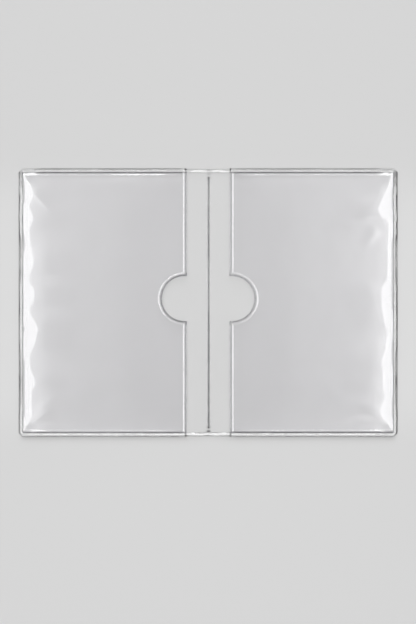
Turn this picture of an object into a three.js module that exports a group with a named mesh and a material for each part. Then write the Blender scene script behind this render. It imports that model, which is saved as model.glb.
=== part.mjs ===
// A clear vinyl pocket insert for a planner, lying open on its back.
//
// Frame, in millimetres: +Z is up, the fold runs along Y through the origin, the underside is at
// z = 0, and the two leaves reach out along X. A leaf is drawn once, in u and v: u runs from the
// fold to the outer edge and v along the fold. The left leaf is the mirror image of the right one.
//
// The product is three films welded together: a back sheet with a pressed fold, and a pocket sheet
// on each leaf. Each pocket sheet is welded to the back sheet along three edges and open towards
// the fold, where it has a beaded mouth with a round thumb notch.

import * as THREE from 'three';
import { mergeVertices } from 'three/addons/utils/BufferGeometryUtils.js';

// Sheets
const leafWidth = 105;
const leafHeight = 149;
const filmThickness = 0.25;

// Welded border of a leaf
const weldWidth = 2.7;
const weldCrown = 0.8;
const weldValley = 0.5;
const weldEdge = 0.3;
const cornerRadius = 2.5;
const cornerSteps = 6;

// Pocket sheet: the gap under it at the weld, and how far it lifts beyond that
const weldGap = 0.2;
const mouthLift = 0.3;
const domeLift = 1.4;
const domeReach = 80;
const rollReach = 8;

// Mouth of the pocket, with its bead and thumb notch
const mouthFromFold = 11.8;
const beadWidth = 2.4;
const beadRise = 0.15;
const notchRadius = 12.45;
const notchInset = 1.4;
const notchAboveMiddle = 2.2;
const notchSteps = 16;

// Single film between the two pockets, with a bead along its top and bottom edges
const mouthStep = 0.5;
const stepLength = 0.8;
const foldPinch = 0.5;
const spineCrown = 0.6;
const spineSteps = 6;

// Fold: the strip of film that bends, and the pressed line along its middle
const foldHalfWidth = 2;
const creaseWidth = 0.8;
const creaseDepth = 0.12;
const creaseLip = 0.04;
const creaseLipWidth = 0.4;
const creaseEndMargin = 2;
const creaseRunOut = 0.5;

// Places that follow from the sizes above
const halfHeight = leafHeight / 2;
const weldInnerU = leafWidth - weldWidth;
const weldInnerV = halfHeight - weldWidth;
const beadInnerU = mouthFromFold + beadWidth;
const notchFromFold = mouthFromFold + notchInset;
const rimRadius = notchRadius + beadWidth;
const seamHeight = filmThickness + weldGap + filmThickness;
const mouthEdgeV = halfHeight - mouthStep;

// The section of a weld, as shares of its width from the pocket side out, with its heights
const weldSection = [
  [0, seamHeight],
  [0.12, seamHeight],
  [0.24, weldValley],
  [0.56, weldValley],
  [0.72, weldCrown],
  [0.88, weldCrown],
  [1, weldEdge],
];
const beadShares = [0, 0.2, 0.5, 0.8, 1];

const film = { color: 0xd0d1d4, roughness: 0.12, metalness: 0, transparent: true, opacity: 0.35 };
const pressed = { ...film, color: 0xc2c4c8, roughness: 0.2, opacity: 0.5 };
const creased = { ...film, color: 0x9c9ea3, roughness: 0.3, opacity: 0.6 };

function clamp01(t) {
  return Math.min(Math.max(t, 0), 1);
}

function mix(a, b, t) {
  return a + (b - a) * t;
}

function smooth(t) {
  const s = clamp01(t);
  return s * s * (3 - 2 * s);
}

// Evenly spaced values from a to b, both included.
function steps(a, b, count) {
  return Array.from({ length: count + 1 }, (_, k) => mix(a, b, k / count));
}

// How much of its lift the pocket sheet has at a distance from a weld: it leaves the weld steeply
// and levels out.
function rollUp(distance) {
  const t = clamp01(distance / rollReach);
  return (3 * t - t ** 3) / 2;
}

// The height of a pocket sheet's underside. It leaves the three welds at the same height, bellies
// up over the middle of the leaf, and lies lower along its mouth.
function pocketFloor(u, v) {
  const lift = mix(mouthLift, domeLift, smooth((u - mouthFromFold) / domeReach));
  const held = rollUp(weldInnerU - u) * rollUp(weldInnerV - Math.abs(v));
  return filmThickness + weldGap + lift * held;
}

// The outer edge of the single film between the pockets, drawn in a little where it folds.
function spineEdge(u) {
  return mouthEdgeV - foldPinch * (1 - smooth(u / mouthFromFold));
}

// The bead's rise over its film, from the cut edge (share 0) to where it runs out (share 1).
function bead(share) {
  return beadRise * Math.sin(Math.PI * mix(0.25, 1, share));
}

function planArea(plan) {
  let area = 0;
  for (let i = 1; i < plan.length; i++) {
    for (let j = 1; j < plan[i].length; j++) {
      const [ax, ay] = plan[i - 1][j - 1];
      const [bx, by] = plan[i - 1][j];
      const [cx, cy] = plan[i][j];
      const [dx, dy] = plan[i][j - 1];
      area += (cx - ax) * (dy - by) - (cy - ay) * (dx - bx);
    }
  }
  return area / 2;
}

// A closed solid over a plan of rows of points: lowAt and highAt give its underside and its top.
// Both are called with the point's place and with its row and column.
function slab(plan, lowAt, highAt) {
  const rows = plan.length;
  const columns = plan[0].length;
  const positions = [];
  for (const heightAt of [lowAt, highAt]) {
    plan.forEach((row, i) => {
      row.forEach(([x, y], j) => positions.push(x, y, heightAt(x, y, i, j)));
    });
  }
  const low = (i, j) => i * columns + j;
  const high = (i, j) => (rows + i) * columns + j;
  const quads = [];
  for (let i = 1; i < rows; i++) {
    for (let j = 1; j < columns; j++) {
      quads.push([high(i - 1, j - 1), high(i - 1, j), high(i, j), high(i, j - 1)]);
      quads.push([low(i - 1, j - 1), low(i, j - 1), low(i, j), low(i - 1, j)]);
    }
  }
  for (let i = 1; i < rows; i++) {
    const last = columns - 1;
    quads.push([low(i - 1, 0), high(i - 1, 0), high(i, 0), low(i, 0)]);
    quads.push([low(i - 1, last), low(i, last), high(i, last), high(i - 1, last)]);
  }
  for (let j = 1; j < columns; j++) {
    const last = rows - 1;
    quads.push([low(0, j - 1), low(0, j), high(0, j), high(0, j - 1)]);
    quads.push([low(last, j - 1), high(last, j - 1), high(last, j), low(last, j)]);
  }
  const flipped = planArea(plan) < 0;
  const geometry = new THREE.BufferGeometry();
  geometry.setAttribute('position', new THREE.Float32BufferAttribute(positions, 3));
  geometry.setIndex(quads.flatMap(([a, b, c, d]) => (
    flipped ? [a, c, b, a, d, c] : [a, b, c, a, c, d]
  )));
  const merged = mergeVertices(geometry, 1e-4);
  const index = Array.from(merged.index.array);
  const kept = [];
  for (let k = 0; k < index.length; k += 3) {
    const [a, b, c] = index.slice(k, k + 3);
    if (a !== b && b !== c && c !== a) kept.push(a, b, c);
  }
  merged.setIndex(kept);
  merged.computeVertexNormals();
  return merged;
}

function piece(name, geometry, look) {
  const mesh = new THREE.Mesh(geometry, new THREE.MeshStandardMaterial(look));
  mesh.name = name;
  return mesh;
}

// Places a plan in u and v on one leaf: side is 1 for the right leaf and -1 for the left one.
function onLeaf(side, plan) {
  return plan.map((row) => row.map(([u, v]) => [side * u, v]));
}

function backPanel(side) {
  const width = weldInnerU - foldHalfWidth;
  const geometry = new THREE.BoxGeometry(width, 2 * weldInnerV, filmThickness);
  return { geometry, x: side * (foldHalfWidth + width / 2), z: filmThickness / 2 };
}

// The angles round the notch at which its rim has a section, from below to above, measured from
// the direction away from the fold. The rim leaves the straight bead's inner side at the first
// and the last one.
function notchAngles() {
  const reach = Math.acos((beadInnerU - notchFromFold) / rimRadius);
  return steps(-reach, reach, notchSteps);
}

function onNotch(radius, angle) {
  return [
    notchFromFold + radius * Math.cos(angle),
    notchAboveMiddle + radius * Math.sin(angle),
  ];
}

// The sheet's rows run from the bottom weld to the top one. A row starts at the straight bead or
// at the notch's rim, and its points gather where the sheet rolls down to the outer weld.
function pocketSheet(side) {
  const angles = notchAngles();
  const rollShares = [0.7, 0.45, 0.2, 0];
  const starts = angles.map((angle) => onNotch(rimRadius, angle));
  const [, notchBottom] = starts[0];
  const [, notchTop] = starts[starts.length - 1];
  const bottomRows = rollShares.map((share) => -weldInnerV + share * rollReach).reverse();
  const topRows = rollShares.map((share) => weldInnerV - share * rollReach);
  const below = steps(-weldInnerV + rollReach, notchBottom, 3).slice(0, -1);
  const above = steps(notchTop, weldInnerV - rollReach, 3).slice(1);
  const straight = (v) => [beadInnerU, v];
  const rowStarts = [
    ...[...bottomRows, ...below].map(straight),
    ...starts,
    ...[...above, ...topRows].map(straight),
  ];
  const plan = rowStarts.map(([start, v]) => [
    ...steps(start, weldInnerU - rollReach, 4).map((u) => [u, v]),
    ...rollShares.map((share) => [weldInnerU - share * rollReach, v]),
  ]);
  return slab(
    onLeaf(side, plan),
    (x, y) => pocketFloor(Math.abs(x), y),
    (x, y) => pocketFloor(Math.abs(x), y) + filmThickness,
  );
}

// The beaded edge of the sheet along a stretch of the mouth, as rows of places across the bead.
function mouthBead(side, rows) {
  return slab(
    onLeaf(side, rows),
    (x, y) => pocketFloor(Math.abs(x), y),
    (x, y, i, j) => pocketFloor(Math.abs(x), y) + filmThickness + bead(beadShares[j]),
  );
}

// One straight stretch of the mouth's bead: end is 1 above the notch and -1 below it.
function straightBead(side, end) {
  const start = notchAboveMiddle + end * rimRadius;
  const roll = end * (weldInnerV - rollReach);
  const rows = [...steps(start, roll, 2), ...steps(roll, end * weldInnerV, 4).slice(1)];
  return mouthBead(side, rows.map((v) => (
    beadShares.map((share) => [mouthFromFold + share * beadWidth, v])
  )));
}

// The bead round the notch, with a short straight lead from the mouth's cut edge at each end.
function notchRim(side) {
  const quarter = Math.PI / 2;
  const radii = beadShares.map((share) => notchRadius + share * beadWidth);
  const lead = (end) => radii.map((radius) => [mouthFromFold, notchAboveMiddle + end * radius]);
  const arc = [-quarter, ...notchAngles(), quarter];
  return mouthBead(side, [
    lead(-1),
    ...arc.map((angle) => radii.map((radius) => onNotch(radius, angle))),
    lead(1),
  ]);
}

// A weld, from rows that each give its pocket side and its outer side.
function weld(side, rows) {
  const plan = rows.map(([inner, outer]) => (
    weldSection.map(([share]) => [mix(inner[0], outer[0], share), mix(inner[1], outer[1], share)])
  ));
  return slab(onLeaf(side, plan), () => 0, (x, y, i, j) => weldSection[j][1]);
}

// The weld along the top (end 1) or the bottom (end -1) of a leaf. Its outer edge steps out where
// the pocket sheet begins.
function endWeld(side, end) {
  const stations = [
    [mouthFromFold, mouthEdgeV],
    [mouthFromFold + stepLength, halfHeight],
    [weldInnerU, halfHeight],
  ];
  return weld(side, stations.map(([u, edge]) => [[u, end * weldInnerV], [u, end * edge]]));
}

// The weld along a leaf's outer edge, with the two rounded corners.
function sideWeld(side) {
  const radius = Math.min(cornerRadius, weldWidth);
  const centreU = leafWidth - radius;
  const centreV = halfHeight - radius;
  const corner = steps(0, Math.PI / 2, cornerSteps).map((angle) => (
    [centreU + radius * Math.sin(angle), centreV + radius * Math.cos(angle)]
  ));
  const upper = [[weldInnerU, halfHeight], ...corner, [leafWidth, weldInnerV]];
  const outline = [...upper, ...upper.map(([u, v]) => [u, -v]).reverse()];
  return weld(side, outline.map(([u, v]) => (
    [[weldInnerU, Math.sign(v) * Math.min(Math.abs(v), weldInnerV)], [u, v]]
  )));
}

// The bead on the single film's top (end 1) or bottom (end -1) edge, dying out towards the fold.
function spineBead(side, end) {
  const shares = [0, 0.25, 0.5, 0.75, 1];
  const plan = steps(foldHalfWidth, mouthFromFold, spineSteps).map((u) => (
    shares.map((share) => [u, end * mix(weldInnerV, spineEdge(u), share)])
  ));
  const crown = (row) => mix(filmThickness, spineCrown, row / spineSteps);
  return slab(
    onLeaf(side, plan),
    () => 0,
    (x, y, i, j) => mix(filmThickness, crown(i), Math.sin(Math.PI * shares[j])),
  );
}

// The strip that bends when the insert is folded. The pressed line along its middle stops short
// of both ends.
function foldStrip() {
  const lip = creaseWidth / 2 + creaseLipWidth;
  const across = [-foldHalfWidth, -lip, -creaseWidth / 2, 0, creaseWidth / 2, lip, foldHalfWidth];
  const relief = [0, 0, creaseLip, -creaseDepth, creaseLip, 0, 0];
  const creaseEnd = weldInnerV - creaseEndMargin;
  const rows = [-creaseEnd - creaseRunOut, -creaseEnd, creaseEnd, creaseEnd + creaseRunOut];
  const pressedRow = [0, 0, 1, 1, 0, 0];
  const plan = [
    across.map((u) => [u, -spineEdge(Math.abs(u))]),
    ...rows.map((v) => across.map((u) => [u, v])),
    across.map((u) => [u, spineEdge(Math.abs(u))]),
  ];
  return slab(plan, () => 0, (x, y, i, j) => filmThickness + relief[j] * pressedRow[i]);
}

function leaf(name, side) {
  const group = new THREE.Group();
  const panel = backPanel(side);
  const panelMesh = piece(`${name}_back_panel`, panel.geometry, film);
  panelMesh.position.set(panel.x, 0, panel.z);
  group.add(
    panelMesh,
    piece(`${name}_pocket_sheet`, pocketSheet(side), film),
    piece(`${name}_outer_weld`, sideWeld(side), pressed),
    piece(`${name}_top_weld`, endWeld(side, 1), pressed),
    piece(`${name}_bottom_weld`, endWeld(side, -1), pressed),
    piece(`${name}_mouth_bead_upper`, straightBead(side, 1), pressed),
    piece(`${name}_mouth_bead_lower`, straightBead(side, -1), pressed),
    piece(`${name}_thumb_notch_rim`, notchRim(side), pressed),
    piece(`${name}_spine_bead_top`, spineBead(side, 1), pressed),
    piece(`${name}_spine_bead_bottom`, spineBead(side, -1), pressed),
  );
  return group;
}

const insert = new THREE.Group();
insert.add(leaf('left', -1), piece('fold_strip', foldStrip(), creased), leaf('right', 1));

export default insert;
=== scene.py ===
"""A clear vinyl pocket insert for a planner, lying open on its back on a pale ground.

Lengths are in millimetres until a mesh is finished, and u and v are a leaf's own directions: u runs
out from the fold and v along it. The left leaf is the mirror image of the right one.
"""

import math

import bpy
import numpy as np
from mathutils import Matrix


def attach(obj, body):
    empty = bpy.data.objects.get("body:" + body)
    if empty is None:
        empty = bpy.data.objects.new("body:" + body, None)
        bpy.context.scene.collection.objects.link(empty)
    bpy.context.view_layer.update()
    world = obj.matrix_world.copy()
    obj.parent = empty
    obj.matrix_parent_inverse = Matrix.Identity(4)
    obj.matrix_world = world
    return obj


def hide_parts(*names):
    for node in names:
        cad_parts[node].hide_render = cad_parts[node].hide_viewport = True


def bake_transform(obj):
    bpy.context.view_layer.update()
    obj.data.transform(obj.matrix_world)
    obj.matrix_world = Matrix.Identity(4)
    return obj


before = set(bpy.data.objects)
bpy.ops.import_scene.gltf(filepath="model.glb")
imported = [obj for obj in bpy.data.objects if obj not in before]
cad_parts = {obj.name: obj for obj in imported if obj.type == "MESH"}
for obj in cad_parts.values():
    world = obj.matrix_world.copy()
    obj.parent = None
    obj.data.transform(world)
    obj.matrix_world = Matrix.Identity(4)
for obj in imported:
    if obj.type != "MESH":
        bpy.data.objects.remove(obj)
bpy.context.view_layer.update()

MM = 0.001
LEAVES = {"left": -1, "right": 1}
ENDS = {"top": 1, "bottom": -1}

# Films and welds: the welds' inner edges lie at WELD_U and WELD_V, a weld holds the two films of a
# leaf a small gap apart, and a hair's breadth is left where two pieces meet
HALF_HEIGHT = 74.5
LEAF_WIDTH = 105.0
FILM = 0.25
WELD = 2.7
WELD_U = LEAF_WIDTH - WELD
WELD_V = HALF_HEIGHT - WELD
WELD_GAP = 0.2
JOIN_GAP = 0.02

# Mouth of a pocket and its thumb notch, with the small rounding where the two meet
MOUTH_U = 11.8
MOUTH_CORNER = 0.5
MOUTH_STEP = 0.5
NOTCH_U = 13.2
NOTCH_V = 2.2
NOTCH_RADIUS = 12.45

# Fold, and the line pressed along it
FOLD_HALF = 2.0
CREASE_END = 69.6
CREASE_SHIFT = 0.28


# Curves


def smooth(t):
    t = np.clip(t, 0, 1)
    return t * t * (3 - 2 * t)


def rise(x, start, end):
    """From 0 at start to 1 at end, without a corner."""
    return smooth((x - start) / (end - start))


def mix(a, b, t):
    return a + (b - a) * t


def bump(x, middle, reach):
    """A soft hill of height 1 at middle, that dies out at reach on both sides."""
    return np.exp(-(((x - middle) / reach) ** 2))


def streak(x, strength, middle, reach):
    """A soft hill as high as its strength."""
    return strength * bump(x, middle, reach)


def plateau(x, low, top_from, top_to, high):
    """A hill of height 1 from low to high, level between top_from and top_to."""
    return smooth((x - low) / (top_from - low)) * smooth((high - x) / (high - top_to))


def wobble(x, amount, *lengths):
    """A small irregular wave along x, the same on every run."""
    return amount * sum(np.sin(x / length + 5 * k) for k, length in enumerate(lengths))


def nearest(a, b, rounding):
    """The smaller of two distances, with the fold between them rounded off."""
    h = np.clip(0.5 + (b - a) / (2 * rounding), 0, 1)
    return mix(b, a, h) - rounding * h * (1 - h)


def stations(*stretches):
    """Places along a line, from stretches of (start, end, spacing at start, spacing at end)."""
    places = []
    for start, end, first, last in stretches:
        count = max(2, round(abs(end - start) * 2 / (first + last)))
        t = np.linspace(0, 1, count + 1)
        eased = t * first + t * t * (last - first) / 2
        places.append(start + (end - start) * eased / eased[-1])
    joined = np.concatenate(places)
    keep = np.concatenate([[True], np.abs(np.diff(joined)) > 1e-6])
    return joined[keep]


# A closed piece of film

SHARP_EDGE = math.radians(50)
SAME_PLACE = 1e-6


def select_none():
    bpy.ops.object.select_all(action="DESELECT")


def points_of(mesh):
    points = np.empty(len(mesh.vertices) * 3)
    mesh.vertices.foreach_get("co", points)
    return points.reshape(-1, 3)


def place_points(mesh, points):
    mesh.vertices.foreach_set("co", points.ravel())
    mesh.update()


def give(mesh, key, values):
    mesh.attributes.new(key, "FLOAT", "POINT").data.foreach_set("value", values)


def take(mesh, key):
    """The values that give() laid on the mesh, which doesn't keep them."""
    values = np.empty(len(mesh.vertices))
    mesh.attributes[key].data.foreach_get("value", values)
    mesh.attributes.remove(mesh.attributes[key])
    return values


def film_piece(name, across, along, place, underside, topside, shade):
    """A closed film: a grid laid out by place(a, b), extruded, with its two faces shaped.

    across and along are the grid's stations, and every function gets them for each vertex.
    """
    select_none()
    bpy.ops.mesh.primitive_grid_add(
        x_subdivisions=len(across) - 1, y_subdivisions=len(along) - 1, size=2
    )
    piece = bpy.context.object
    piece.name = piece.data.name = name
    mesh = piece.data
    grid = points_of(mesh)
    a = across[np.rint((grid[:, 0] + 1) / 2 * (len(across) - 1)).astype(int)]
    b = along[np.rint((grid[:, 1] + 1) / 2 * (len(along) - 1)).astype(int)]
    give(mesh, "across", a)
    give(mesh, "along", b)
    place_points(mesh, np.stack([*place(a, b), underside(a, b)], 1) * MM)

    bpy.ops.object.mode_set(mode="EDIT")
    bpy.ops.mesh.select_all(action="SELECT")
    bpy.ops.mesh.extrude_region_move(TRANSFORM_OT_translate={"value": (0, 0, FILM * MM)})
    bpy.ops.object.mode_set(mode="OBJECT")
    a, b = take(mesh, "across"), take(mesh, "along")
    upper = np.empty(len(mesh.vertices), bool)
    mesh.vertices.foreach_get("select", upper)
    points = points_of(mesh)
    points[upper, 2] = topside(a[upper], b[upper]) * MM
    place_points(mesh, points)
    give(mesh, "shade", np.clip(shade(a, b), 0, 1))

    bpy.ops.object.mode_set(mode="EDIT")
    bpy.ops.mesh.select_all(action="SELECT")
    bpy.ops.mesh.remove_doubles(threshold=SAME_PLACE)
    bpy.ops.mesh.normals_make_consistent(inside=False)
    bpy.ops.object.mode_set(mode="OBJECT")
    bpy.ops.object.shade_smooth_by_angle(angle=SHARP_EDGE)
    return piece


def flat_underside(a, b):
    return np.zeros_like(a)


# Pocket films

# Lift of the film at its mouth, and how far from the mouth its own roll takes over
MOUTH_LIFT = 0.3
LIFT_REACH = 80.0
# Roll of the film up from the outer weld: its slope at the weld, how much steeper that is than the
# mean slope, and how far in the roll levels out, within the puckers' band along the weld and
# further in
ROLL_SLOPE = 0.09
STEEPNESS = 1.25
ROLL_REACH = {"left": 2.7, "right": 2.4}
INNER_REACH = {"left": 3.1, "right": 3.4}
PUCKER_BAND = (10, 32)
# Puckers along the outer weld, where the pocket film was drawn in as it cooled: where each one
# begins, is full, is still full and ends along the weld, and how much further the film rolls there
PUCKERS = {
    "left": [
        (53, 60, 61.5, 68, 1.4), (39, 46, 47.5, 54, 2.9), (14, 20.5, 23.5, 32.5, 3.1),
        (-10, -4, 14, 20, 0.2), (-3.5, 1.5, 7, 11.5, 3.3), (-31, -20.5, -12.5, -4, 4.6),
        (-50, -45.5, -43, -37, 2.9), (-69, -60, -53, -47, 0.9),
    ],
    "right": [
        (45.5, 48.5, 50.5, 63, 5.3), (6, 16, 34, 41, -0.7), (-17.5, -9, 7.5, 13.5, 2.8),
        (-53, -47, -34, -25, 3.1), (-66.5, -61.5, -58, -53.5, 3.2),
    ],
}
# Stretches where the film lies flat beside the weld before it rolls up, and how wide they are
FLAT_STARTS = {
    "left": [(53, 56, 65, 68), (26, 30, 36, 40), (-18, -16, -14, -12), (-66, -62, -33, -29)],
    "right": [(49, 52, 62, 66), (-7, -3, 34, 38), (-38, -34, -22, -18), (-66, -63, -54, -50)],
}
FLAT_START = 1.1
# How softly the film starts to roll up
START_ROUNDING = 0.1
START_SINK = 0.1
# Fold that runs inwards from a corner of the pocket: how round it is, and how it leans
CORNER_FOLD = 0.7
CORNER_LEAN = 0.43
# Low dome of the film: its height, how far it grows from the outer weld and from the mouth, and
# from the top and the bottom weld: beside the outer weld, further in and in the middle, with the
# bands in which one gives way to the next
DOME = 0.6
DOME_REACH = 11.0
DOME_FROM_MOUTH = 40
DOME_ENDS = {"beside": (14, 7), "further_in": (30, 19), "middle": (30, 30)}
DOME_BANDS = ((6, 21), (22, 47))
# Stretches where the dome starts more flatly, or more steeply, beside the outer weld
DOME_CHANGES = {
    "left": [(26, 33, 56, 63, 0.25), (-64, -58, -34, -27, 0.2)],
    "right": [(6, 14, 39, 45.5, 0.38), (-70, -60, -45, -38, -0.2)],
}
CHANGE_REACH = 70
# How the film rises beside the end welds: gently along the middle, less so near the mouth, and
# steeply at the corners, where it sinks back further in
END_RISE = 0.0605
END_BAND = (0.2, 1.8)
END_FROM_MOUTH = 15
CORNER_SLOPE = 0.145
CORNER_REACH = 1.6
CORNER_SINK = (2, 6.5)
CORNER_BAND = (1.5, 8.5)
# Faint ridges that run in from the corners: (u, v) of both ends, height and half width
RIDGES = {
    "left": [((98, 62), (84, 48), 0.05, 1.5), ((96, -60), (80, -50), 0.03, 2.0)],
    "right": [
        ((95, 42), (84, 29.5), 0.1, 3.0), ((92, -71), (72, -60), 0.02, 2.0),
        ((99, -68), (88, -54), 0.02, 2.0),
    ],
}
# Shares of its length over which a ridge grows and dies out
RIDGE_STARTS = 1 / 3
RIDGE_ENDS = 1 / 2


def roll_up(distance, reach):
    """Share of its lift that a film has at a distance from its weld."""
    t = np.clip(distance / reach, 0, 1)
    return STEEPNESS * (t - t**5 / 5)


def roll_height(slope, reach):
    """Height that a film reaches where it leaves its weld with this slope."""
    return slope * reach / STEEPNESS


def ridge(u, v, start, end, height, half_width):
    (au, av), (bu, bv) = start, end
    length = math.hypot(bu - au, bv - av)
    du, dv = (bu - au) / length, (bv - av) / length
    along = ((u - au) * du + (v - av) * dv) / length
    aside = (u - au) * dv - (v - av) * du
    fading = rise(along, 0, RIDGE_STARTS) * rise(1 - along, 0, RIDGE_ENDS)
    return streak(aside, height, 0, half_width) * fading


def from_welds(u, v):
    """Distances from the outer weld and from the nearer end weld."""
    return WELD_U - u, WELD_V - np.abs(v)


def from_roll_start(leaf, u, v):
    """Distance from where the film starts to roll up beside the outer weld."""
    flat = FLAT_START * sum(plateau(v, *stretch) for stretch in FLAT_STARTS[leaf])
    late = WELD_U - u - flat
    return 0.5 * (late + np.sqrt(late**2 + START_ROUNDING)) - START_SINK


def pocket_dome(leaf, u, v, late):
    from_side, from_end = from_welds(u, v)
    dome = DOME * smooth((u - MOUTH_U) / DOME_FROM_MOUTH)
    dome = dome * (1 - np.exp(-np.maximum(late, 0) / DOME_REACH))
    change = sum(share * plateau(v, *stretch) for *stretch, share in DOME_CHANGES[leaf])
    dome = dome * (1 - change * (1 - smooth(from_side / CHANGE_REACH)))
    beside, further_in, middle = (
        np.where(v > 0, at_top, at_bottom) for at_top, at_bottom in DOME_ENDS.values()
    )
    outer_band, inner_band = DOME_BANDS
    end_reach = mix(further_in, middle, rise(from_side, *inner_band))
    end_reach = mix(beside, end_reach, rise(from_side, *outer_band))
    return dome * smooth(from_end / end_reach)


def end_rise(u, v):
    from_side, from_end = from_welds(u, v)
    gentle = END_RISE * rise(from_end, *END_BAND) * smooth((u - MOUTH_U) / END_FROM_MOUTH)
    steep = roll_height(CORNER_SLOPE, CORNER_REACH) * roll_up(from_end, CORNER_REACH)
    steep = mix(steep, END_RISE, rise(from_end, *CORNER_SINK))
    return mix(gentle, steep, 1 - rise(from_side, *CORNER_BAND))


def pocket_floor(leaf, u, v):
    """Height of the pocket film's underside."""
    from_side, from_end = from_welds(u, v)
    puckers = sum(extra * plateau(v, *stretch) for *stretch, extra in PUCKERS[leaf])
    near_weld = 1 - rise(from_side, *PUCKER_BAND)
    reach = mix(INNER_REACH[leaf], ROLL_REACH[leaf] + puckers, near_weld)
    late = from_roll_start(leaf, u, v)
    held = roll_up(nearest(late, CORNER_LEAN * from_end, CORNER_FOLD), reach)
    lift = mix(MOUTH_LIFT, roll_height(ROLL_SLOPE, reach), smooth((u - MOUTH_U) / LIFT_REACH))
    creased = sum(ridge(u, v, *line) for line in RIDGES[leaf])
    dome = pocket_dome(leaf, u, v, late)
    return FILM + WELD_GAP + (lift + creased) * held + dome + end_rise(u, v)


# Mouths

# Bead along a mouth: distance from its cut edge and height above the film up to its crown, then
# where its slope down to the film starts and ends, and its foot
BEAD_CROWN = ((0, -0.08), (0.15, 0.08), (0.35, 0.14), (0.6, 0.175), (0.85, 0.185))
BEAD_FALL = {"left": (1.35, 2.0), "right": (1.4, 2.2)}
BEAD_SHOULDER = 0.178
BEAD_FOOT = 0.04
BEAD_TAIL = 0.5
# Grey lines along a mouth, partly the thick cut vinyl's own grey and partly painted shade for the
# dark that its cut edge shows: how grey, how far from the cut edge and how wide, along the straight
# mouth and round its notch, and the faint one at the foot of the bead
MOUTH_LINE = {"left": (0.48, 0.5, 0.46), "right": (0.32, 0.65, 0.65)}
NOTCH_LINE = {"left": (1.1, 0.3, 0.42), "right": (0.75, 0.3, 0.42)}
NOTCH_LINE_FADES = (1.8, 2.6)
FOOT_PAINTED_SHADE = 0.1
FOOT_PLACE = 0.3
FOOT_WIDTH = 0.25
# Painted shade on the pocket film at the end welds, which carries on the dark line along a weld's
# inner edge, and how wide it is: it clears towards the top's corners
TOP_WELD_PAINTED_SHADE = 0.5
TOP_WELD_REACH = 0.3
BOTTOM_WELD_PAINTED_SHADE = {"left": 0.4, "right": 0.8}
BOTTOM_WELD_REACH = 0.4
CORNER_CLEARS = (92, 97)
CORNER_CLEAR = 0.9
# The pocket film's mesh is closer round the notch, near the end welds, at the mouth's bead and, a
# little, near the outer weld
NOTCH_ROWS = 61
NEAR_NOTCH = 6
NEAR_END = 3
ON_BEAD = 3.2
NEAR_MOUTH = 9
POCKET_DEPTH = WELD_U - JOIN_GAP - MOUTH_U
NEAR_SIDE = POCKET_DEPTH - 30


def mouth_start(v):
    """Where the pocket film starts at v: at its mouth, or at the edge of the notch."""
    inside = np.clip(1 - ((v - NOTCH_V) / NOTCH_RADIUS) ** 2, 0, 1)
    beyond = np.clip(MOUTH_CORNER - (np.abs(v - NOTCH_V) - NOTCH_RADIUS), 0, MOUTH_CORNER)
    rounded = MOUTH_U + MOUTH_CORNER - np.sqrt(MOUTH_CORNER**2 - beyond**2)
    return np.where(inside > 0, NOTCH_U + NOTCH_RADIUS * np.sqrt(inside), rounded)


def mouth_distance(u, v):
    """Distance from the cut edge of the mouth or its notch."""
    from_notch = np.hypot(np.maximum(u - NOTCH_U, 0), v - NOTCH_V) - NOTCH_RADIUS
    straight = u - MOUTH_U
    return np.where(np.abs(v - NOTCH_V) < NOTCH_RADIUS, from_notch, np.minimum(straight, from_notch))


def mouth_bead(leaf, distance):
    start, end = BEAD_FALL[leaf]
    fall = (start, BEAD_SHOULDER), (end, BEAD_FOOT), (end + BEAD_TAIL, 0)
    return np.interp(distance, *zip(*BEAD_CROWN, *fall))


def mouth_painted_shade(leaf, u, v):
    """Grey of the cut edge, most of all round the notch, partly the vinyl's own and partly painted
    shade, and painted shade on the film at the welds.
    """
    distance = mouth_distance(u, v)
    from_notch = np.hypot(u - NOTCH_U, v - NOTCH_V) - NOTCH_RADIUS
    round_notch = 1 - rise(from_notch, *NOTCH_LINE_FADES)
    foot = streak(distance, FOOT_PAINTED_SHADE, BEAD_FALL[leaf][1] + FOOT_PLACE, FOOT_WIDTH)
    straight = streak(distance, *MOUTH_LINE[leaf]) + foot
    mouth = mix(straight, streak(distance, *NOTCH_LINE[leaf]), round_notch)
    top = TOP_WELD_PAINTED_SHADE * (1 - CORNER_CLEAR * rise(u, *CORNER_CLEARS))
    at_top = streak(WELD_V - v, top, 0, TOP_WELD_REACH)
    at_bottom = streak(WELD_V + v, BOTTOM_WELD_PAINTED_SHADE[leaf], 0, BOTTOM_WELD_REACH)
    return np.maximum(mouth, np.where(v > 0, at_top, at_bottom))


def pocket_rows():
    reach = WELD_V - JOIN_GAP
    near_end = reach - NEAR_END
    notch = NOTCH_V + NOTCH_RADIUS * np.sin(np.linspace(-math.pi / 2, math.pi / 2, NOTCH_ROWS))
    below, above = notch[0] - NEAR_NOTCH, notch[-1] + NEAR_NOTCH
    lower = stations(
        (-reach, -near_end, 0.12, 0.3), (-near_end, below, 0.4, 1.0), (below, notch[0], 0.8, 0.1)
    )
    upper = stations(
        (notch[-1], above, 0.1, 0.8), (above, near_end, 1.0, 0.4), (near_end, reach, 0.3, 0.12)
    )
    return np.concatenate([lower[:-1], notch, upper[1:]])


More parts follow.
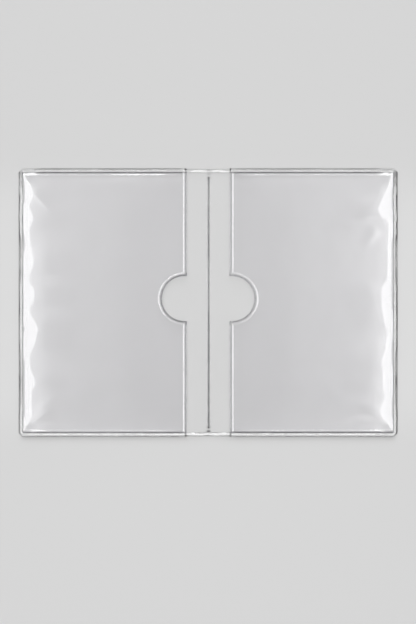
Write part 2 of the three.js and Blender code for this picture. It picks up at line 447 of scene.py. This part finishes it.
def pocket_film(leaf, side):
    columns = stations(
        (0, ON_BEAD, 0.12, 0.2), (ON_BEAD, NEAR_MOUTH, 0.35, 0.5),
        (NEAR_MOUTH, NEAR_SIDE, 1.4, 1.4), (NEAR_SIDE, POCKET_DEPTH, 0.9, 0.35),
    )
    shares = (columns / POCKET_DEPTH)[::side]

    def u_of(share, v):
        return mix(mouth_start(v), WELD_U - JOIN_GAP, share)

    def place(share, v):
        return side * u_of(share, v), v

    def underside(share, v):
        return pocket_floor(leaf, u_of(share, v), v)

    def topside(share, v):
        bead = mouth_bead(leaf, mouth_distance(u_of(share, v), v))
        return underside(share, v) + FILM + bead

    # Grey of the cut edge, partly the vinyl's own and partly painted shade, and painted shade at the
    # welds
    def grey(share, v):
        return mouth_painted_shade(leaf, u_of(share, v), v)

    return film_piece(
        f"{leaf}_pocket_film", shares, pocket_rows(), place, underside, topside, grey
    )


# Welds

# Share of the weld's width by which it is cut back at the middle of a corner
CORNER_ROUND = 0.24
# Length over which the end welds narrow by a step at a mouth
STEP_LENGTH = 0.8
# The path along a weld: its length of closer steps at a mouth, and its steps round a corner
NEAR_STEP = 4
CORNER_STEPS = 13
# Section of a weld, from the pocket film outwards: place, height on the top, bottom and outer
# welds, and how grey it looks there on each of them, partly the thick vinyl's own grey and partly
# painted shade for the dark lines that its edges and groove show. The end welds lean back, and the
# outer weld is pressed flat.
WELD_SECTION = np.array(
    [
        (0, 0.70, 0.70, 0.70, 0.8, 0.9, 0),
        (0.1, 0.69, 0.69, 0.69, 1, 0.85, 0.12),
        (0.2, 0.62, 0.63, 0.65, 1, 0.85, 0.45),
        (0.34, 0.53, 0.53, 0.56, 1, 0.7, 0.72),
        (0.5, 0.52, 0.48, 0.52, 0.5, 0.25, 0.6),
        (0.62, 0.56, 0.49, 0.54, 0, 0, 0.35),
        (0.75, 0.585, 0.51, 0.57, 0, 0, 0.12),
        (0.9, 0.59, 0.54, 0.59, 0, 0, 0),
        (1.1, 0.585, 0.58, 0.61, 0, 0, 0),
        (1.4, 0.565, 0.65, 0.62, 0, 0, 0),
        (1.7, 0.53, 0.70, 0.61, 0.22, 0, 0),
        (1.95, 0.48, 0.72, 0.58, 0.42, 0, 0),
        (2.15, 0.42, 0.66, 0.54, 0.42, 0.1, 0),
        (2.35, 0.35, 0.53, 0.47, 0.32, 0.8, 0),
        (2.55, 0.26, 0.36, 0.34, 0.22, 0.95, 0),
        (2.7, 0.12, 0.12, 0.12, 0.15, 1, 0),
    ]
)
OUT, TOP_HEIGHT, BOTTOM_HEIGHT, OUTER_HEIGHT, TOP_PAINTED_SHADE, BOTTOM_PAINTED_SHADE, OUTER_PAINTED_SHADE = WELD_SECTION.T
# The outer weld's edge is nearly straight, and uneven towards the top
EDGE_WAVES = (2.1, 3.7, 7.9)
EDGE_WAVE = 0.04
UNEVEN_EDGE = 0.09
UNEVEN_FROM = (34, 48)
# Streaks along the welds, stronger on the outer ones, which are blotchy too towards the top
STREAK_WAVES = (2.6, 5.3, 11.0)
STREAKS = 0.06
OUTER_STREAKS = 0.08
BLOTCH_WAVES = (0.9, 1.7, 2.9)
BLOTCHES = 0.2
BLOTCH_LEAN = 2
BLOTCHY_FROM = (46, 56)
# Specks in the outer welds at their upper corners: how grey, how wide and how close they are, how
# they lean and alternate across the weld, from where, and how far out
SPECKS = {"left": 0.7, "right": 1.4}
SPECK_WIDTH = 0.3
SPECK_WAVES = (0.6, 1.1)
SPECK_WAVE = 0.7
SPECK_LEAN = 1.7
SPECK_TURNS = 5
SPECKED_FROM = (62, 68)
SPECK_BAND = (-0.2, 0.1, 1.4, 1.9)
# The grey line along the rim of an outer weld, partly the thick vinyl's own grey and partly painted
# shade: where it begins, how grey it is and how soft its edge, all three different on a rough
# stretch, and how clear the last of the rim is
RIM_LINE = {"left": 1.78, "right": 1.68}
RIM_PAINTED_SHADE = {"left": 0.75, "right": 1.0}
RIM_SOFTNESS = 0.3
ROUGH_STRETCHES = ((-62, -52, -33, -24), (8, 15, 34, 39))
ROUGH_SHIFT = 0.7
ROUGH_PAINTED_SHADE = 0.5
ROUGH_SOFTNESS = 0.6
CLEAR_RIM = {"left": 1.0, "right": 0.9}
CLEAR_RIM_FROM = (2.25, 2.45)
# Grey lines of the end welds, partly their own grey and partly painted shade: they fade at the upper
# corners, where a fainter one takes over, and twice beside a mouth, where a dark mark of painted
# shade at the weld's step crosses them. Each has its strength, its place from the film or from the
# mouth, and its half width, and BAND_PLACE and MARK_PLACE say where across the weld.
CORNER_FADE = 0.7
CORNER_LINE = (0.3, 1.55, 0.3)
MOUTH_FADE = (0.6, 1.5, 0.5)
BAND_FADE = (0.8, 2.4, 1.3)
BAND_PLACE = (1.95, 0.35)
MOUTH_MARK = (1.2, 0.6, 0.5)
MARK_PLACE = {"top": 1.95, "bottom": 1.5}
MARK_WIDTH = 0.6
# How far the lines fade where a weld turns a corner: at the lower corners, only near the film
TOP_TURN_FADE = 0.5
BOTTOM_TURN_FADE = 0.8
BOTTOM_TURN_BAND = (1.1, 1.5)


def weld_path():
    """Middle line of a leaf's welds, as rows of u, v and the direction outwards in u and v."""
    near_mouth = MOUTH_U + NEAR_STEP
    straight = stations((MOUTH_U, near_mouth, 0.2, 0.3), (near_mouth, WELD_U, 0.8, 0.8))
    turn = np.linspace(0, math.pi / 2, CORNER_STEPS)[1:-1]
    side = stations((-WELD_V, WELD_V, 0.6, 0.6))
    points = [(u, -WELD_V, 0.0, -1.0) for u in straight]
    points += [(WELD_U, -WELD_V, math.sin(a), -math.cos(a)) for a in turn]
    points += [(WELD_U, v, 1.0, 0.0) for v in side]
    points += [(WELD_U, WELD_V, math.cos(a), math.sin(a)) for a in turn]
    points += [(u, WELD_V, 0.0, 1.0) for u in straight[::-1]]
    return np.array(points)


def turning(du, dv):
    """0 where a weld runs straight, and 1 at the middle of its corner."""
    return 4 * du**2 * dv**2


def end_section(e, dv, at_top, at_bottom):
    """Height or grey of an end weld, at a distance e from the pocket film."""
    return mix(np.interp(e, OUT, at_bottom), np.interp(e, OUT, at_top), smooth(0.5 + dv))


# Grey line along an outer weld's rim: partly the thick vinyl's own grey, partly painted shade
def rim_painted_shade(leaf, e, v):
    rough = sum(plateau(v, *stretch) for stretch in ROUGH_STRETCHES)
    start = RIM_LINE[leaf] - ROUGH_SHIFT * rough
    softness = mix(RIM_SOFTNESS, ROUGH_SOFTNESS, rough)
    line = mix(RIM_PAINTED_SHADE[leaf], ROUGH_PAINTED_SHADE, rough) * smooth((e - start) / softness)
    return line * (1 - CLEAR_RIM[leaf] * rise(e, *CLEAR_RIM_FROM))


# Grey of an outer weld, partly the vinyl's own grey and partly painted shade, with its specks
def outer_weld_painted_shade(leaf, e, step, v):
    specks = wobble(step + SPECK_LEAN * e, SPECK_WAVE, *SPECK_WAVES) * np.sin(SPECK_TURNS * e)
    specks = np.maximum(0, SPECK_WIDTH + specks)
    specks = specks * rise(v, *SPECKED_FROM) * plateau(e, *SPECK_BAND)
    return np.interp(e, OUT, OUTER_PAINTED_SHADE) + rim_painted_shade(leaf, e, v) + SPECKS[leaf] * specks


# Grey of an end weld, partly the vinyl's own and partly painted shade, and a painted dark mark at a
# mouth
def end_weld_painted_shade(e, u, dv):
    grey = end_section(e, dv, TOP_PAINTED_SHADE, BOTTOM_PAINTED_SHADE)
    corner = rise(u, *CORNER_CLEARS) * smooth(dv * 2)
    grey = grey * (1 - CORNER_FADE * corner) + corner * streak(e, *CORNER_LINE)
    from_mouth = u - MOUTH_U
    grey = grey * (1 - streak(from_mouth, *MOUTH_FADE))
    grey = grey * (1 - streak(from_mouth, *BAND_FADE) * bump(e, *BAND_PLACE))
    mark = streak(from_mouth, *MOUTH_MARK) * dv**2
    mark_place = mix(MARK_PLACE["bottom"], MARK_PLACE["top"], smooth(dv))
    return grey + mark * bump(e, mark_place, MARK_WIDTH)


def weld_piece(leaf, side):
    """The welded border of a leaf: e runs out from the pocket film, and step along the path."""
    path = weld_path()
    order = np.arange(len(path), dtype=float)

    def at(step):
        return path[np.rint(step).astype(int)].T

    def place(e, step):
        u, v, du, dv = at(step)
        narrowed = MOUTH_STEP * (1 - smooth((u - MOUTH_U) / STEP_LENGTH))
        out = e * (1 - narrowed / WELD) * (1 - CORNER_ROUND * turning(du, dv))
        wave = wobble(step, EDGE_WAVE + UNEVEN_EDGE * rise(v, *UNEVEN_FROM), *EDGE_WAVES)
        out = out + wave * np.sin(math.pi * e / WELD) * du**2
        return side * (u + du * out), v + dv * out

    def top(e, step):
        dv = at(step)[3]
        ends = end_section(e, dv, TOP_HEIGHT, BOTTOM_HEIGHT)
        return mix(np.interp(e, OUT, OUTER_HEIGHT), ends, dv**2)

    # Grey lines of the weld, partly the vinyl's own grey and partly painted shade, with streaks and
    # blotches
    def grey(e, step):
        u, v, du, dv = at(step)
        outer_share = du**2
        streaks = 1 + wobble(step, STREAKS + OUTER_STREAKS * outer_share, *STREAK_WAVES)
        blotchy = BLOTCHES * outer_share * rise(v, *BLOTCHY_FROM)
        blotches = wobble(step + BLOTCH_LEAN * e, blotchy, *BLOTCH_WAVES)
        near_film = 1 - rise(e, *BOTTOM_TURN_BAND)
        turn_fade = np.where(dv > 0, TOP_TURN_FADE, BOTTOM_TURN_FADE * near_film)
        level = mix(end_weld_painted_shade(e, u, dv), outer_weld_painted_shade(leaf, e, step, v), outer_share)
        return level * (streaks + blotches) * (1 - turn_fade * turning(du, dv))

    return film_piece(f"{leaf}_weld", OUT[::-1], order[::side], place, flat_underside, top, grey)


# Back sheet

# Groove pressed along the fold, and the low lips beside it: height, place and half width, and the
# length over which they run out
CREASE_GROOVE = (0.13, 0, 0.4)
CREASE_LIPS = (0.05, 0.75, 0.2)
CREASE_RUNOUT = 2
# Painted shade in the pressed groove: how grey it looks, in waves, and how much more so near the
# viewer
CREASE_PAINTED_SHADE = 0.7
CREASE_WIDTH = 0.6
CREASE_WAVE = 0.06
CREASE_WAVES = (1.3, 3.1, 8.3)
CREASE_SHADE_RUNOUT = 0.4
NEARER_PAINTED_SHADE = 0.16
NEARER_REACH = 40
# Painted shade at the tip of the groove, and at the small pucker beyond it: strength, place along
# the fold from the groove's end, and half length
TIP_PAINTED_SHADE = (0.35, -0.7, 0.5)
PUCKER_PAINTED_SHADE = {"top": 0.4, "bottom": 1.3}
PUCKER_PLACE = (1.6, 0.3)
PUCKER_WIDTH = 1.0
# Half width of the close columns of the sheet's mesh
ON_CREASE = 1.2


def crease(u, v):
    along = smooth((CREASE_END - np.abs(v)) / CREASE_RUNOUT)
    u = u - CREASE_SHIFT
    return along * (streak(np.abs(u), *CREASE_LIPS) - streak(u, *CREASE_GROOVE))


def crease_painted_shade(u, v):
    """Painted shade in the pressed line, more so near the viewer, that ends at a small pucker."""
    u, beyond = u - CREASE_SHIFT, np.abs(v) - CREASE_END
    uneven = CREASE_PAINTED_SHADE + wobble(v, CREASE_WAVE, *CREASE_WAVES)
    uneven = uneven + NEARER_PAINTED_SHADE * smooth(-v / NEARER_REACH)
    line = uneven * bump(u, 0, CREASE_WIDTH) * smooth(-beyond / CREASE_SHADE_RUNOUT)
    pucker = mix(PUCKER_PAINTED_SHADE["bottom"], PUCKER_PAINTED_SHADE["top"], smooth(v))
    ending = streak(beyond, *TIP_PAINTED_SHADE) + pucker * bump(beyond, *PUCKER_PLACE)
    return line + ending * bump(u, 0, PUCKER_WIDTH)


def both_ways(half):
    """Stations on both sides of the fold, from those on one side."""
    return np.concatenate([-half[::-1], half[1:]])


def back_sheet():
    columns = both_ways(
        stations(
            (0, ON_CREASE, 0.08, 0.15), (ON_CREASE, FOLD_HALF, 0.2, 0.4),
            (FOLD_HALF, WELD_U - JOIN_GAP, 0.6, 2.5),
        )
    )
    reach = WELD_V - JOIN_GAP
    near_end = reach - CREASE_RUNOUT
    rows = both_ways(stations((0, near_end, 1.5, 0.6), (near_end, reach, 0.3, 0.15)))
    return film_piece(
        "back_sheet",
        columns,
        rows,
        lambda u, v: (u, v),
        flat_underside,
        lambda u, v: FILM + crease(u, v),
        crease_painted_shade,
    )


# Beads between the pockets

# Their edge is a step lower than the end welds', and pinched in at the fold
SPINE_STEP = {"top": MOUTH_STEP, "bottom": 0.3}
FOLD_PINCH = 0.2
PINCH_REACH = 7
# A bead is low at the fold and grows towards the welds, and its rim is thin all along
RIM_HEIGHT = 0.12
SPINE_GROWTH = 0.085
SPINE_LOWEST = {"top": 0.3, "bottom": 0.36}
SPINE_HIGHEST = 0.62
# It leans back: its crest is near the film at the top end and near the rim at the bottom. Its
# corners are shares of its width, far from the welds and near them, with slopes between. The top
# one is partly as it is near the welds at the fold too.
WELDS_NEAR = (6.5, 10.5)
FOLD_LEVELS = 0.7
FOLD_REACH = 3
TOP_CREST = (0.24, 0.2)
TOP_KNEE = (0.78, 0.34)
TOP_RIM = 0.9
TOP_SLOPE = 0.15
TOP_RIM_SLOPE = 0.05
BOTTOM_KNEE = (0.21, 0.25)
BOTTOM_CREST = (0.72, 0.6)
BOTTOM_RIM = 0.85
BOTTOM_SLOPE = 0.235
# Grey lines along a bead, partly the thick vinyl's own grey and partly painted shade, and painted
# shade that dims its crown: strength, place as a share of its width, and half width
SPINE_FOOT = (0.4, 0.07, 0.09)
SPINE_FOOT_FADE = (0.7, 0, 1.0)
SPINE_RIM = {"top": (0.65, 0.96, 0.09), "bottom": (0.6, 0.96, 0.09)}
SPINE_PUCKER = (0.25, 0.7, 0.3)
SPINE_PUCKER_WIDTH = 0.7
CROWN_PAINTED_SHADE = {"top": 0.0, "bottom": 0.12}
CROWN_BAND = (0.15, 0.25, 0.7, 0.85)


def spine_edge(u, place):
    pinch = FOLD_PINCH * (1 - smooth(np.abs(u) / PINCH_REACH))
    return HALF_HEIGHT - SPINE_STEP[place] - pinch


def falling(height, slope, distance):
    """Height after a slope down, but never below the rim."""
    return np.maximum(height - slope * distance, RIM_HEIGHT)


def top_bead(u, height, width, near_weld):
    """Corners of the top bead's section, as (share of its width, height)."""
    levelled = FOLD_LEVELS * (1 - smooth(np.abs(u - CREASE_SHIFT) / FOLD_REACH))
    near_weld = np.maximum(near_weld, levelled)
    crest, knee = mix(*TOP_CREST, near_weld), mix(*TOP_KNEE, near_weld)
    low = falling(height, TOP_SLOPE, (knee - crest) * width)
    rim = falling(low, TOP_RIM_SLOPE, (TOP_RIM - knee) * width)
    return (0, FILM), (crest, height), (knee, low), (TOP_RIM, rim), (1, RIM_HEIGHT)


def bottom_bead(u, height, width, near_weld):
    """Corners of the bottom bead's section, as (share of its width, height)."""
    knee, crest = mix(*BOTTOM_KNEE, near_weld), mix(*BOTTOM_CREST, near_weld)
    low = falling(height, BOTTOM_SLOPE, (crest - knee) * width)
    return (0, FILM), (knee, low), (crest, height), (BOTTOM_RIM, height), (1, RIM_HEIGHT)


SPINE_SECTIONS = {"top": top_bead, "bottom": bottom_bead}


def spine_bead(place, end):
    half = stations((0, FOLD_HALF, 0.15, 0.25), (FOLD_HALF, MOUTH_U - JOIN_GAP, 0.4, 0.5))
    shares = np.linspace(0, 1, 26)[::end]

    def top(u, share):
        width = spine_edge(u, place) - WELD_V
        grown = RIM_HEIGHT + SPINE_GROWTH * np.abs(u)
        height = np.clip(grown, SPINE_LOWEST[place], SPINE_HIGHEST)
        corners = SPINE_SECTIONS[place](u, height, width, rise(np.abs(u), *WELDS_NEAR))
        raised = np.full_like(share, RIM_HEIGHT)
        for (start, low), (stop, high) in zip(corners, corners[1:]):
            within = (share >= start) & (share <= stop)
            raised = np.where(within, mix(low, high, (share - start) / (stop - start)), raised)
        return np.maximum(raised, RIM_HEIGHT)

    # Grey lines of the bead, partly the vinyl's own grey and partly painted shade, and painted shade
    # on its crown
    def grey(u, share):
        at_fold = u - CREASE_SHIFT
        crown = CROWN_PAINTED_SHADE[place] * plateau(share, *CROWN_BAND)
        pucker = streak(share, *SPINE_PUCKER) * bump(at_fold, 0, SPINE_PUCKER_WIDTH)
        foot = streak(share, *SPINE_FOOT) * (1 - streak(at_fold, *SPINE_FOOT_FADE))
        return foot + streak(share, *SPINE_RIM[place]) + crown + pucker

    return film_piece(
        f"spine_bead_{place}",
        both_ways(half),
        shares,
        lambda u, share: (u, end * mix(WELD_V, spine_edge(u, place), share)),
        flat_underside,
        top,
        grey,
    )


# Nodes of a material, the ground or the sky


def add_node(tree, kind, **settings):
    node = tree.nodes.new(f"ShaderNode{kind}")
    for key, value in settings.items():
        setattr(node, key, value)
    return node


def feed(tree, socket, value):
    """Sets a socket to a number or a colour, or links another node's output to it."""
    if isinstance(value, bpy.types.NodeSocket):
        tree.links.new(value, socket)
    else:
        socket.default_value = value


def combined(tree, operation, first, second):
    node = add_node(tree, "Math", operation=operation)
    feed(tree, node.inputs[0], first)
    feed(tree, node.inputs[1], second)
    return node.outputs[0]


def ramp(tree, value, start, end, low, high):
    """A soft change from low, where value is at start, to high, where it is at end."""
    node = add_node(tree, "MapRange", interpolation_type="SMOOTHSTEP")
    for socket, given in zip(node.inputs, (value, start, end, low, high)):
        feed(tree, socket, given)
    return node.outputs[0]


def mixed_colours(tree, share, first, second):
    node = add_node(tree, "Mix", data_type="RGBA")
    feed(tree, node.inputs[0], share)
    feed(tree, node.inputs[6], (*first, 1))
    feed(tree, node.inputs[7], (*second, 1))
    return node.outputs[2]


def mixed_shaders(tree, share, first, second):
    node = add_node(tree, "MixShader")
    for socket, given in zip(node.inputs, (share, first.outputs[0], second.outputs[0])):
        feed(tree, socket, given)
    return node.outputs[0]


def seen_rays(tree):
    """1 for what is seen, straight away or in or through the film, and 0 for what lights it."""
    ray = add_node(tree, "LightPath")
    mirrored, through = ray.outputs["Is Glossy Ray"], ray.outputs["Is Transmission Ray"]
    in_film = combined(tree, "MAXIMUM", mirrored, through)
    return combined(tree, "MAXIMUM", in_film, ray.outputs["Is Camera Ray"])


# Finishes

IOR_OF_VINYL = 1.5
RIPPLE_SCALE = 60
RIPPLE_HEIGHT = 0.0005
# Clear colour of each film, its grey where it is pressed or cut, which is partly the thick vinyl's
# own and partly painted shade, its roughness, how much it ripples, and the tint of the light that
# comes through the grey. The pocket film's clear colour is a little darker than the back sheet's:
# painted shade for the light lost through two films.
DIM = (0.34, 0.34, 0.35)
CLEAR_FILM = ((0.998, 0.998, 0.998), DIM, 0.05, 0.1, DIM)
SHADED_POCKET_VINYL = ((0.953, 0.951, 0.958), (0.45, 0.445, 0.465), 0.05, 0.15, DIM)
WELDED_VINYL = ((0.99, 0.99, 0.99), (0.4, 0.397, 0.415), 0.07, 0.3, (0.12, 0.12, 0.12))


def film_finish(name, clear, dark, roughness, ripple, shadow):
    """Clear vinyl: see-through and glossy, greyer where the film is pressed or cut, which is partly
    the thick vinyl's own grey and partly painted shade.

    Lamps shine through it, and where it looks grey it bends their light away: shadow is its tint.
    """
    material = bpy.data.materials.new(name)
    material.use_nodes = True
    tree = material.node_tree
    tree.nodes.clear()
    shade = add_node(tree, "Attribute", attribute_name="shade").outputs["Fac"]

    waves = add_node(tree, "TexNoise")
    waves.inputs["Scale"].default_value = RIPPLE_SCALE
    waves.inputs["Detail"].default_value = 1
    feed(tree, waves.inputs["Vector"], add_node(tree, "TexCoord").outputs["Object"])
    relief = add_node(tree, "Bump")
    relief.inputs["Strength"].default_value = ripple
    relief.inputs["Distance"].default_value = RIPPLE_HEIGHT
    feed(tree, relief.inputs["Height"], waves.outputs["Fac"])

    film = add_node(tree, "BsdfPrincipled")
    film.inputs["Transmission Weight"].default_value = 1.0
    film.inputs["IOR"].default_value = IOR_OF_VINYL
    film.inputs["Roughness"].default_value = roughness
    feed(tree, film.inputs["Base Color"], mixed_colours(tree, shade, clear, dark))
    feed(tree, film.inputs["Normal"], relief.outputs["Normal"])

    through = add_node(tree, "BsdfTransparent")
    feed(tree, through.inputs["Color"], mixed_colours(tree, shade, clear, shadow))
    ray = add_node(tree, "LightPath").outputs
    lighting = combined(tree, "MAXIMUM", ray["Is Shadow Ray"], ray["Is Diffuse Ray"])
    output = add_node(tree, "OutputMaterial")
    feed(tree, output.inputs["Surface"], mixed_shaders(tree, lighting, film, through))
    return material


clear_film = film_finish("clear vinyl film", *CLEAR_FILM)
# The pocket film's clear colour is darkened with painted shade
shaded_pocket_vinyl = film_finish("pocket vinyl film with painted shade", *SHADED_POCKET_VINYL)
welded_vinyl = film_finish("welded vinyl", *WELDED_VINYL)


def finish_piece(piece, material):
    piece.data.materials.clear()
    piece.data.materials.append(material)


def bend_with_fold(piece):
    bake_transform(piece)


# The insert

back = back_sheet()
finish_piece(back, clear_film)
bend_with_fold(back)
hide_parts("left_back_panel", "right_back_panel", "fold_strip")

for leaf, side in LEAVES.items():
    pocket = pocket_film(leaf, side)
    finish_piece(pocket, shaded_pocket_vinyl)
    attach(pocket, f"{leaf}_leaf")
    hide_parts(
        f"{leaf}_pocket_sheet",
        f"{leaf}_mouth_bead_upper",
        f"{leaf}_mouth_bead_lower",
        f"{leaf}_thumb_notch_rim",
    )
    weld = weld_piece(leaf, side)
    finish_piece(weld, welded_vinyl)
    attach(weld, f"{leaf}_leaf")
    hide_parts(f"{leaf}_outer_weld", f"{leaf}_top_weld", f"{leaf}_bottom_weld")

for place, end in ENDS.items():
    bead = spine_bead(place, end)
    finish_piece(bead, welded_vinyl)
    bend_with_fold(bead)
    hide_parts(f"left_spine_bead_{place}", f"right_spine_bead_{place}")


# Ground: from here on, lengths are in metres

GROUND_SIZE = 6
GROUND_HEIGHT = -0.0003
# It is a little paler towards the viewer, and paler beside the insert's sides, which is painted
# light: places and tones
NEARER = (0.16, -0.2, 0.62, 0.66)
PAINTED_LIGHT_BESIDE = (0.094, 0.112, 0.0, 0.04)
PAINTED_LIGHT_ENDS = (0.045, 0.085, 1.0, 0.0)
# Far from the insert, where the lamps don't reach, the ground is seen as pale as it is near
FAR = (0.35, 1.0, 0.0, 1.0)
FAR_TONE = 0.66


def ground_finish():
    material = bpy.data.materials.new("pale ground")
    material.use_nodes = True
    tree = material.node_tree
    place = add_node(tree, "TexCoord").outputs["Object"]
    axes = add_node(tree, "SeparateXYZ")
    feed(tree, axes.inputs[0], place)
    spread = add_node(tree, "VectorMath", operation="ABSOLUTE")
    feed(tree, spread.inputs[0], place)
    both_sides = add_node(tree, "SeparateXYZ")
    feed(tree, both_sides.inputs[0], spread.outputs[0])
    nearer = ramp(tree, axes.outputs["Y"], *NEARER)
    # Painted light: the ground is paler in a band beside the insert's sides
    painted_light_out = ramp(tree, both_sides.outputs["X"], *PAINTED_LIGHT_BESIDE)
    painted_light_along = ramp(tree, both_sides.outputs["Y"], *PAINTED_LIGHT_ENDS)
    tone = combined(tree, "ADD", nearer, combined(tree, "MULTIPLY", painted_light_out, painted_light_along))
    colour = add_node(tree, "CombineColor")
    for socket in colour.inputs:
        feed(tree, socket, tone)
    surface = tree.nodes["Principled BSDF"]
    surface.inputs["Roughness"].default_value = 0.9
    surface.inputs["Specular IOR Level"].default_value = 0.0
    feed(tree, surface.inputs["Base Color"], colour.outputs[0])

    away = add_node(tree, "VectorMath", operation="LENGTH")
    feed(tree, away.inputs[0], place)
    far = ramp(tree, away.outputs["Value"], *FAR)
    glow = add_node(tree, "Emission")
    glow.inputs["Color"].default_value = (FAR_TONE, FAR_TONE, FAR_TONE, 1)
    far = combined(tree, "MULTIPLY", far, seen_rays(tree))
    output = tree.nodes["Material Output"]
    feed(tree, output.inputs["Surface"], mixed_shaders(tree, far, surface, glow))
    return material


def stage():
    bpy.ops.mesh.primitive_plane_add(size=GROUND_SIZE, location=(0, 0, GROUND_HEIGHT))
    ground = bpy.context.object
    ground.name = "ground"
    ground.data.materials.append(ground_finish())


# Lamps: how bright each one looks, its width and length, how far off the vertical it stands and
# its bearing, in degrees, and its distance
LAMPS = {
    "left_lamp": (3.9, 0.33, 0.85, 21.5, 180, 1.5),
    "right_lamp": (3.9, 0.33, 0.85, 21.5, 0, 1.5),
    "top_lamp": (7.2, 0.38, 1.3, 22, 90, 2.6),
    "back_lamp": (8.0, 1.7, 3.1, 70, 90, 4.0),
    "front_lamp": (5.0, 0.07, 0.4, 22, -90, 1.0),
}


def lamp(name, radiance, width, length, tilt, bearing, distance):
    """A soft lamp that faces the insert."""
    tilt, bearing = math.radians(tilt), math.radians(bearing)
    data = bpy.data.lights.new(name, "AREA")
    data.shape = "RECTANGLE"
    data.size, data.size_y = width, length
    data.energy = radiance * width * length * math.pi
    light = bpy.data.objects.new(name, data)
    bpy.context.scene.collection.objects.link(light)
    x = math.sin(tilt) * math.cos(bearing)
    y = math.sin(tilt) * math.sin(bearing)
    light.location = (x * distance, y * distance, math.cos(tilt) * distance)
    light.rotation_euler = (0, tilt, bearing)
    return light


lamps = {name: lamp(name, *settings) for name, settings in LAMPS.items()}
# The low lamp behind only lights the ground, and isn't mirrored in the film as a white sheet
lamps["back_lamp"].visible_glossy = False
lamps["back_lamp"].visible_transmission = False


# Sky: the studio's ceiling, as the film mirrors it

CEILING = (0.84, 0.93, 0.05, 0.66)
STRAIGHT_UP = (0.985, 1.0, 0.0, -0.18)
OVERHEAD = (0.9, 0.97, 0.0, 1.0)
# Overhead, it is brighter or darker towards each side: from, to and the change in brightness
TO_NEARER = (0.05, -0.1, 0.0, -0.3)
TO_FRONT = (-0.17, -0.25, 0.0, 1.0)
TO_RIGHT = (0.0, 0.06, 0.0, 0.1)
TO_BACK = (0.15, 0.25, 0.0, 1.6)
TO_BOTH_SIDES = (-0.05, 0.2, 0.0, 0.8)
SIDE_STRIP = (0.1, 0.2, 0.0, 2.2)
SIDE_STRIP_END = (0.2, 0.23, 1.0, 0.0)
# Low down, the studio is as pale as its ground, where it is seen in or through the film
LOW_DOWN = (0.84, 0.93, 0.62, 0.0)


def studio():
    world = bpy.data.worlds.new("studio")
    world.use_nodes = True
    sky = world.node_tree
    direction = add_node(sky, "SeparateXYZ")
    feed(sky, direction.inputs[0], add_node(sky, "TexCoord").outputs["Generated"])
    across, back, up = direction.outputs
    aside = add_node(sky, "Math", operation="ABSOLUTE")
    feed(sky, aside.inputs[0], across)
    aside = aside.outputs[0]

    strip = combined(
        sky, "MULTIPLY", ramp(sky, aside, *SIDE_STRIP), ramp(sky, aside, *SIDE_STRIP_END)
    )
    changes = (
        ramp(sky, back, *TO_NEARER),
        ramp(sky, back, *TO_FRONT),
        ramp(sky, across, *TO_RIGHT),
        combined(sky, "ADD", ramp(sky, aside, *TO_BOTH_SIDES), strip),
        ramp(sky, back, *TO_BACK),
    )
    overhead = ramp(sky, up, *OVERHEAD)
    level = combined(sky, "ADD", ramp(sky, up, *CEILING), ramp(sky, up, *STRAIGHT_UP))
    for change in changes:
        level = combined(sky, "ADD", level, combined(sky, "MULTIPLY", change, overhead))
    low_down = combined(sky, "MULTIPLY", ramp(sky, up, *LOW_DOWN), seen_rays(sky))
    level = combined(sky, "ADD", level, low_down)
    shine = sky.nodes["Background"]
    shine.inputs["Color"].default_value = (1, 1, 1, 1)
    feed(sky, shine.inputs["Strength"], level)
    return world


bpy.context.scene.world = studio()
stage()


# Camera: it looks straight down

LENS = 100
SENSOR = 36
VIEWPOINT = (-0.00008, -0.00523, 0.96)

camera = bpy.data.cameras.new("camera")
camera.lens = LENS
camera.sensor_width = SENSOR
viewer = bpy.data.objects.new("camera", camera)
viewer.location = VIEWPOINT
bpy.context.scene.collection.objects.link(viewer)
bpy.context.scene.camera = viewer
bpy.context.scene.view_settings.view_transform = "Standard"
